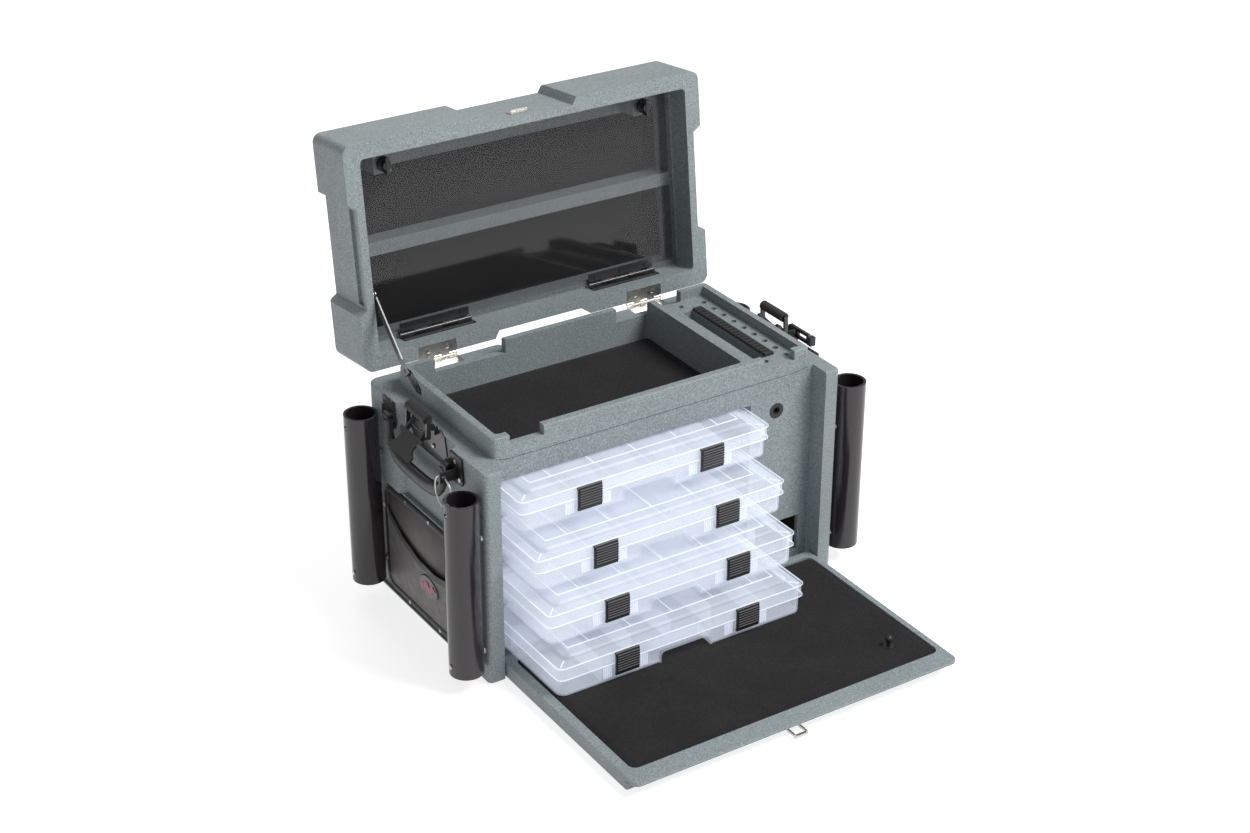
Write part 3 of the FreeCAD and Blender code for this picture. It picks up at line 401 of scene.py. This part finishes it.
def build_foam():
    """Linings of the tray, the door and the two rooms of the lid.

    The lid's sheets are laid flat as in the closed lid, top face down, and turned open.
    """
    for name, body in (("tray_foam", "case"), ("door_foam", "door")):
        low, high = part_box(name)
        mat = foam_mat(name + "_sheet", low, high, body)
        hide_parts(name)
    back = LID_TURN.inverted()
    shell = [back @ v.co for v in NODES["lid_foam"].data.vertices]
    middle = sum(v.y for v in shell) / len(shell)
    for part, keep in (("upper", lambda v: v.y < middle), ("lower", lambda v: v.y >= middle)):
        own = [v for v in shell if keep(v)]
        low = [min(v[i] for v in own) for i in range(3)]
        high = [max(v[i] for v in own) for i in range(3)]
        flip = Matrix.Translation((0, 0, low[2] + high[2])) @ Matrix.Diagonal((1, 1, -1, 1))
        foam_mat("lid_foam_" + part, low, high, "lid", LID_TURN @ flip, LID_FOAM)
    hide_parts("lid_foam")


# ---- side pocket ----------------------------------------------------------------------
POCKET_CORNER = 0.014
BACK_INSET = 0.003
BINDING_INSET = 0.005
BINDING_WIDTH = 0.010
BINDING_RISE = 0.0036
FRONT_INSET = 0.007
BELLY = 0.0042
HEM_HALF = 0.0045
HEM_PLACES = (0.0, 0.346, 0.621, 1.0)
HEM_HEIGHTS = (0.099, 0.083, 0.087, 0.121)


def pocket_outline(low, high, inset):
    """Rounded rectangle in the YZ plane of the pocket."""
    y0, z0 = low[1] + inset, low[2] + inset
    y1, z1 = high[1] - inset, high[2] - inset
    r = POCKET_CORNER
    points = []
    for cy, cz, start in (
        (y1 - r, z1 - r, 0),
        (y0 + r, z1 - r, 90),
        (y0 + r, z0 + r, 180),
        (y1 - r, z0 + r, 270),
    ):
        for k in range(7):
            a = radians(start + 15 * k)
            points.append((cy + r * cos(a), cz + r * sin(a)))
    return points


def hem_height(t, low):
    """Height of the pocket's slack top edge, t from 0 at the front to 1 at the rear."""
    total = 0.0
    for i, here in enumerate(HEM_PLACES):
        weight = 1.0
        for k, other in enumerate(HEM_PLACES):
            if k != i:
                weight *= (t - other) / (here - other)
        total += weight * HEM_HEIGHTS[i]
    return low[2] + total


def build_pocket():
    """Stretched backing in a piped binding, and a front panel with a slack mouth."""
    low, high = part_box("side_pocket")
    wall = high[0]
    mesh = bmesh.new()
    outline = pocket_outline(low, high, BACK_INSET)
    ring = [mesh.verts.new((wall - 0.0012, y, z)) for y, z in outline]
    mesh.faces.new(ring)
    back = piece("pocket_back", mesh, "pocket_cloth", "case")
    thick = back.modifiers.new("thickness", "SOLIDIFY")
    thick.thickness = 0.0009
    thick.offset = 1

    mesh = bmesh.new()
    outline = pocket_outline(low, high, BINDING_INSET)
    path = [Vector((wall - 0.0004, y, z)) for y, z in outline]
    section = []
    for k in range(9):
        a = pi * k / 8
        section.append((-BINDING_WIDTH / 2 * cos(a), BINDING_RISE * sin(a)))
    sweep(mesh, path, section, closed=True)
    binding = piece("pocket_binding", mesh, "pocket_cloth", "case", BINDING)

    mesh = bmesh.new()
    nt, nz = 44, 22
    y0, y1 = low[1] + FRONT_INSET, high[1] - FRONT_INSET
    z0 = low[2] + FRONT_INSET
    grid = []
    for i in range(nt + 1):
        t = i / nt
        row = []
        y = y0 + (y1 - y0) * t
        top = hem_height(t, low)
        for k in range(nz + 1):
            s = k / nz
            z = z0 + (top - z0) * s
            side = sin(pi * t) ** 0.4 if 0 < t < 1 else 0
            belly = side * (0.25 + 0.75 * s) * min(1.0, 3 * s + 0.15)
            ripple = 0.0005 * sin(31 * t + 3 * s) * side * s
            row.append(mesh.verts.new((wall - 0.0016 - BELLY * belly - ripple, y, z)))
        grid.append(row)
    for i in range(nt):
        for k in range(nz):
            mesh.faces.new((grid[i][k], grid[i + 1][k], grid[i + 1][k + 1], grid[i][k + 1]))
    hem_path = [row[-1].co.copy() for row in grid]
    front = piece("pocket_front", mesh, "pocket_cloth", "case")
    thick = front.modifiers.new("thickness", "SOLIDIFY")
    thick.thickness = 0.0008
    thick.offset = 0

    mesh = bmesh.new()
    section = [
        (-HEM_HALF, -0.0006), (HEM_HALF, -0.0006), (HEM_HALF, 0.0009), (-HEM_HALF, 0.0009)
    ]
    sweep(mesh, [p - Vector((0, 0, 0.0035)) for p in hem_path], section)
    hem = piece("pocket_hem", mesh, "pocket_cloth", "case", BINDING)
    bevel(hem, 0.0005)
    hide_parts("side_pocket")
    build_badge(Vector((wall - 0.0066, low[1] + 0.096, low[2] + 0.057)))


def build_badge(middle):
    """Oval badge with a plain rim and a generic wave."""
    wide, tall, rim, count = 0.0228, 0.0155, 0.0012, 40
    mesh = bmesh.new()
    ring = []
    inner = []
    for k in range(count):
        a = 2 * pi * k / count
        ring.append(mesh.verts.new(middle + Vector((rim / 2, wide * cos(a), tall * sin(a)))))
        inner.append(
            mesh.verts.new(middle + Vector((-rim / 2, (wide - rim) * cos(a), (tall - rim) * sin(a))))
        )
    for k in range(count):
        m = (k + 1) % count
        mesh.faces.new((ring[k], ring[m], inner[m], inner[k]))
    mesh.faces.new(inner)
    mesh.faces.new(ring[::-1])
    piece("pocket_badge", mesh, "pocket_cloth", "case", BADGE_DARK)
    mesh = bmesh.new()
    path = []
    half = 0.0034
    for k in range(25):
        t = k / 24
        y = -0.0155 + 0.031 * t
        path.append(middle + Vector((-0.0009, y, half * sin(4 * pi * t))))
    section = [(-half, -0.0004), (half, -0.0004), (half, 0.0004), (-half, 0.0004)]
    sweep(mesh, path, section)
    piece("pocket_badge_wave", mesh, "pocket_cloth", "case", BADGE_RED)


# ---- utility box details ------------------------------------------------------------------
BOX_DIVIDERS = 5
BOX_WALL = 0.003
LID_INSET = 0.030
LID_CORNER = 0.0078
RIB_WIDE = 0.0012
RIB_HIGH = 0.0006
RIB_SUNK = 0.0003


def rim_line(mesh, path):
    """Thin square bead along a level path."""
    half = 0.0005
    rings = []
    for i, point in enumerate(path):
        along = (path[min(i + 1, len(path) - 1)] - path[max(i - 1, 0)]).normalized()
        across = Vector((along.y, -along.x, 0))
        ring = []
        for a, h in ((-1, -1), (1, -1), (1, 1), (-1, 1)):
            ring.append(mesh.verts.new(point + across * half * a + Vector((0, 0, half * h))))
        rings.append(ring)
    for before, after in zip(rings, rings[1:]):
        for k in range(4):
            m = (k + 1) % 4
            mesh.faces.new((before[k], before[m], after[m], after[k]))
    mesh.faces.new(rings[0])
    mesh.faces.new(rings[-1][::-1])


def build_box_details(tag):
    """Loose dividers, flutes beside the latches, and the ribs and beads of the lid; the flutes, ribs and beads
    carry a painted edge highlight.
    """
    low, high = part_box(tag + "_base")
    front = low[1] + 0.0016
    half = (front + high[1]) / 2
    mesh = bmesh.new()
    floor, top = low[2] + 0.002, low[2] + 0.033
    for k in range(1, BOX_DIVIDERS + 1):
        x = low[0] + (high[0] - low[0]) * k / (BOX_DIVIDERS + 1)
        start = front + (0.030 if abs(k - 3) < 2 else BOX_WALL)
        add_block(mesh, (x - 0.0006, start, floor), (x + 0.0006, half - 0.001, top))
        add_block(mesh, (x - 0.0006, half + 0.001, floor), (x + 0.0006, high[1] - BOX_WALL, top))
    piece(tag + "_dividers", mesh, "box_clear", tag, smooth=False)

    mesh = bmesh.new()
    flute, step = 0.0011, 0.0026
    bottom, top = low[2] + 0.006, low[2] + 0.021
    for side in ("left", "right"):
        a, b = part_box(tag + "_latch_" + side)
        for k in range(5):
            for x in (a[0] - 0.004 - step * k, b[0] + 0.003 + step * k):
                add_block(mesh, (x, front - 0.0009, bottom), (x + flute, front + 0.0006, top))
    piece(tag + "_flutes", mesh, "box_clear", tag, BOX_EDGE_HIGHLIGHT, smooth=False)

    a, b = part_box(tag + "_lid")
    mesh = bmesh.new()
    skin = b[2]
    foot = skin - RIB_SUNK
    x0, x1, y0, y1 = a[0] + LID_INSET, b[0] - LID_INSET, a[1] + LID_INSET, b[1] - LID_INSET
    for y in (y0, y1):
        add_block(mesh, (x0, y, foot), (x1, y + RIB_WIDE, skin + RIB_HIGH))
    for x in (x0, x1):
        add_block(mesh, (x, y0, foot), (x + RIB_WIDE, y1, skin + RIB_HIGH))
    for k in range(1, BOX_DIVIDERS + 1):
        x = a[0] + (b[0] - a[0]) * k / (BOX_DIVIDERS + 1)
        add_block(mesh, (x, y0, foot), (x + RIB_WIDE, y1, skin + RIB_HIGH * 0.6))
    edge = skin - 0.0048
    for x, sx in ((a[0] + 0.003, 1), (b[0] - 0.003, -1)):
        for y, sy in ((a[1] + 0.003, 1), (b[1] - 0.003, -1)):
            along = Vector((sx, sy, 0)).normalized()
            start = Vector((x, y, edge)) + along * 0.004
            turn = Matrix.Translation(start) @ Matrix.Rotation(
                along.to_2d().angle_signed(Vector((1, 0))), 4, "Z"
            )
            add_block(mesh, (0, -0.0006, -0.0004), (0.014, 0.0006, 0.0006), turn)
    # beads along the lid's lower edge and below its top, drawn bright as painted highlights of the rim
    r, slack = LID_CORNER, 0.0004
    x0, x1 = a[0] + 2 * slack, b[0] - 2 * slack
    for z in (a[2] + 0.0010, b[2] - 0.0050):
        path = [Vector((x0, b[1] - 0.012, z))]
        for middle, start in ((x0 + r, 180), (x1 - r, 270)):
            for k in range(7):
                angle = radians(start + 15 * k)
                path.append(Vector((middle + r * cos(angle), a[1] + slack + r + r * sin(angle), z)))
        path.append(Vector((x1, b[1] - 0.012, z)))
        rim_line(mesh, path)
    piece(tag + "_lid_ribs", mesh, "box_clear", tag + "_lid", BOX_EDGE_HIGHLIGHT, smooth=False)


def build_latch_ribs(tag):
    """Level ribs on the face of both latches of a box, in a light grey that paints the highlights along their
    ridges.
    """
    inset, count = 0.002, 7
    for side in ("left", "right"):
        low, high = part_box(tag + "_latch_" + side)
        mesh = bmesh.new()
        for k in range(count):
            z = low[2] + 0.006 + (high[2] - low[2] - 0.010) * k / (count - 1)
            add_block(
                mesh,
                (low[0] + inset, low[1] - 0.0007, z),
                (high[0] - inset, low[1] + 0.0008, z + 0.0006),
            )
        name = tag + "_latch_ribs_" + side
        piece(name, mesh, "black_plastic", tag + "_latch_" + side, RIB_HIGHLIGHT, smooth=False)


# ---- grips ------------------------------------------------------------------------------
def build_grip(side):
    """Moulded bail grip with finger ridges, between its two pivots."""
    low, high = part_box("handle_" + side)
    middle = (low[1] + high[1]) / 2
    half = (high[1] - low[1]) / 2 - 0.007
    across = (low[0] + high[0]) / 2
    top = high[2] - 0.009
    drop = top - low[2] - 0.0095
    steps, around = 72, 16
    side_way = Vector((1, 0, 0))
    mesh = bmesh.new()
    rings = []
    for i in range(steps + 1):
        a = pi * i / steps
        y = middle + half * (1 if cos(a) > 0 else -1) * abs(cos(a)) ** 0.62
        z = top - drop * abs(sin(a)) ** 0.72
        rings.append(Vector((across, y, z)))
    sections = []
    for i, point in enumerate(rings):
        before = rings[max(0, i - 1)]
        after = rings[min(steps, i + 1)]
        along = (after - before).normalized()
        outward_way = along.cross(side_way).normalized()
        t = i / steps
        held = min(1.0, 2.5 * max(0.0, 1 - abs(t - 0.5) / 0.30))
        thick = 0.0052 + 0.0040 * held
        wide = 0.0058 + 0.0012 * held
        ridge = 0.0011 * (0.5 + 0.5 * sin(60 * t * pi)) if 0.22 < t < 0.78 else 0.0
        ring = []
        for k in range(around):
            b = 2 * pi * k / around
            reach = thick + (ridge if sin(b) * outward_way.z < -0.1 else 0)
            ring.append(mesh.verts.new(point + side_way * wide * cos(b) + outward_way * reach * sin(b)))
        sections.append(ring)
    for i in range(steps):
        for k in range(around):
            m = (k + 1) % around
            mesh.faces.new((sections[i][k], sections[i][m], sections[i + 1][m], sections[i + 1][k]))
    mesh.faces.new(sections[0])
    mesh.faces.new(sections[-1][::-1])
    grip = piece("grip_" + side, mesh, SLOT_OF["handle_" + side], "handle_" + side)
    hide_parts("handle_" + side)


# ---- seam and dark sheets -------------------------------------------------------------------
SEAM_HEIGHT = 0.2815
SEAM_WIDE = 0.0007
DARK_SHEET = 0.0017


def build_seam():
    """Shadow line where the tray insert meets the case front."""
    low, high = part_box("top_tray")
    mesh = bmesh.new()
    front = low[1] - 0.0002
    path = []
    for k in range(41):
        t = k / 40
        x = low[0] + 0.004 + (high[0] - low[0] - 0.008) * t
        lift = 0.0035 * max(0.0, (abs(2 * t - 1) - 0.90) / 0.10) ** 2
        path.append((x, SEAM_HEIGHT + lift))
    for (x0, z0), (x1, z1) in zip(path, path[1:]):
        corners = ((x0, z0), (x1, z1), (x1, z1 + SEAM_WIDE), (x0, z0 + SEAM_WIDE))
        mesh.faces.new([mesh.verts.new((x, front, z)) for x, z in corners])
    piece("tray_seam", mesh, "granite_shell", "case", SEAM, smooth=False)


def build_dark_sheets():
    """Dark sheets on the side, the floor and the rear of the room beside the boxes; they make its inside darker.
    """
    mesh = bmesh.new()
    for room in frame["record"]["physics"]["openings"]:
        if room["name"] == "bulk_storage":
            a, b = room["box_m"]
            start = a[1] + 0.004
            add_block(mesh, (b[0] + 0.0004, start, a[2]), (b[0] + DARK_SHEET, b[1], b[2]))
            add_block(mesh, (a[0], start, a[2] - DARK_SHEET), (b[0], b[1], a[2] - 0.0004))
            add_block(mesh, (a[0], b[1] - DARK_SHEET, a[2]), (b[0], b[1] - 0.0002, b[2]))
    # dark sheets that make the inside of the room beside the boxes darker
    piece("bulk_dark_sheets", mesh, "black_foam", "case", smooth=False)


# ---- small metal details ----------------------------------------------------------------------
def screw_head(mesh, place, radius, dome=0.42):
    """Domed head with a cross recess; place maps +Z to the outward direction."""
    levels, around = 4, 24
    rings = []
    for level in range(levels):
        a = radians(90 * level / levels)
        r = radius * cos(a)
        z = radius * dome * sin(a)
        ring = []
        for k in range(around):
            t = 2 * pi * k / around
            sunk = 0.7 if level == levels - 1 and k % 6 == 0 else 1
            ring.append(mesh.verts.new(place @ Vector((r * cos(t), r * sin(t), z * sunk))))
        rings.append(ring)
    tip = mesh.verts.new(place @ Vector((0, 0, radius * dome * 0.72)))
    for before, after in zip(rings, rings[1:]):
        for k in range(around):
            m = (k + 1) % around
            mesh.faces.new((before[k], before[m], after[m], after[k]))
    for k in range(around):
        mesh.faces.new((rings[-1][k], rings[-1][(k + 1) % around], tip))


def outward(x, y, z, direction):
    """Matrix that puts a detail at a point with +Z along direction."""
    turn = Vector(direction).to_track_quat("Z", "Y").to_matrix().to_4x4()
    return Matrix.Translation((x, y, z)) @ turn


def build_screws():
    """Bright screws of the side latches and of the lid's hinge leaves."""
    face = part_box("case_body")[1][0] - 0.010
    mesh = bmesh.new()
    for side, sign in (("left", -1), ("right", 1)):
        low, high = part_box("side_latch_base_" + side)
        middle = (low[1] + high[1]) / 2
        for off in (-0.012, 0.012):
            place = outward(sign * (face + 0.003), middle + off, 0.262, (sign, 0, 0))
            screw_head(mesh, place, 0.0033)
    piece("bright_screws", mesh, "nickel_steel", "case")
    mesh = bmesh.new()
    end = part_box("lid_hinge_lower")[1][0]
    for sign in (-1, 1):
        for k in (0.25, 0.75):
            x = sign * (end - HINGE_LEAF * k)
            shut = outward(x, LID_AXIS.y - 0.0111, LID_AXIS.z - 0.00285, (0, 0, -1))
            screw_head(mesh, LID_TURN @ shut, 0.0030, 0.08)
    piece("lid_hinge_screws", mesh, "nickel_steel", "lid")


# ---- floor, light and camera ---------------------------------------------------------------------
def build_stage():
    """Wide pale floor just under the box."""
    mesh = bmesh.new()
    bmesh.ops.create_grid(mesh, x_segments=1, y_segments=1, size=40.0)
    data = bpy.data.meshes.new("floor")
    mesh.to_mesh(data)
    mesh.free()
    floor = bpy.data.objects.new("floor", data)
    bpy.context.scene.collection.objects.link(floor)
    floor.location.z = -0.5 * MM
    mat, tree, shader = material("floor_paper")
    shade = ramp(tree, noise(tree, 3, 2), [(0.3, 0.46), (0.7, 0.48)])
    tree.links.new(shade, shader.inputs["Base Color"])
    shader.inputs["Roughness"].default_value = 0.9
    shader.inputs["Emission Color"].default_value = (1, 1, 1, 1)
    shader.inputs["Emission Strength"].default_value = 0.76
    data.materials.append(mat)


def area_light(name, place, target, size, power):
    data = bpy.data.lights.new(name, "AREA")
    data.shape = "DISK"
    data.size = size
    data.energy = power
    obj = bpy.data.objects.new(name, data)
    bpy.context.scene.collection.objects.link(obj)
    obj.location = place
    aim = Vector(target) - Vector(place)
    obj.rotation_euler = aim.to_track_quat("-Z", "Y").to_euler()


def build_light():
    """Soft white surroundings, a broad key from the front right and a weak rim light."""
    world = bpy.data.worlds.new("studio")
    bpy.context.scene.world = world
    world.use_nodes = True
    shade = world.node_tree.nodes["Background"]
    shade.inputs["Color"].default_value = (1.0, 1.0, 1.0, 1)
    shade.inputs["Strength"].default_value = 0.38
    area_light("key", (1.7, -2.1, 3.5), target=(0, 0, 0.2), size=2.0, power=185)
    area_light("back_rim", (0.4, 3.0, 2.6), target=(0, 0, 0.3), size=2.0, power=30)


CAMERA_PLACE = Vector((-1.3642, -2.1491, 1.5733))
CAMERA_AZIMUTH = radians(32.974)
CAMERA_DOWN = radians(27.884)
CAMERA_ROLL = radians(0.229)


def build_camera():
    """Camera at the viewing angle of the reference view."""
    data = bpy.data.cameras.new("camera")
    data.sensor_width = 36.0
    data.lens = 66.44
    camera = bpy.data.objects.new("camera", data)
    bpy.context.scene.collection.objects.link(camera)
    across = Vector((cos(CAMERA_AZIMUTH), -sin(CAMERA_AZIMUTH), 0))
    ahead = Vector(
        (
            sin(CAMERA_AZIMUTH) * cos(CAMERA_DOWN),
            cos(CAMERA_AZIMUTH) * cos(CAMERA_DOWN),
            -sin(CAMERA_DOWN),
        )
    )
    up = across.cross(ahead)
    right = across * cos(CAMERA_ROLL) + up * sin(CAMERA_ROLL)
    top = right.cross(ahead)
    turn = Matrix((right, top, -ahead)).transposed().to_4x4()
    camera.matrix_world = Matrix.Translation(CAMERA_PLACE) @ turn
    bpy.context.scene.camera = camera
    bpy.context.scene.view_settings.view_transform = "Standard"


build_foam()
build_pocket()
for box_name in BOXES:
    build_box_details(box_name)
    build_latch_ribs(box_name)
build_grip("left")
build_grip("right")
build_seam()
build_dark_sheets()
build_screws()
build_stage()
build_light()
build_camera()
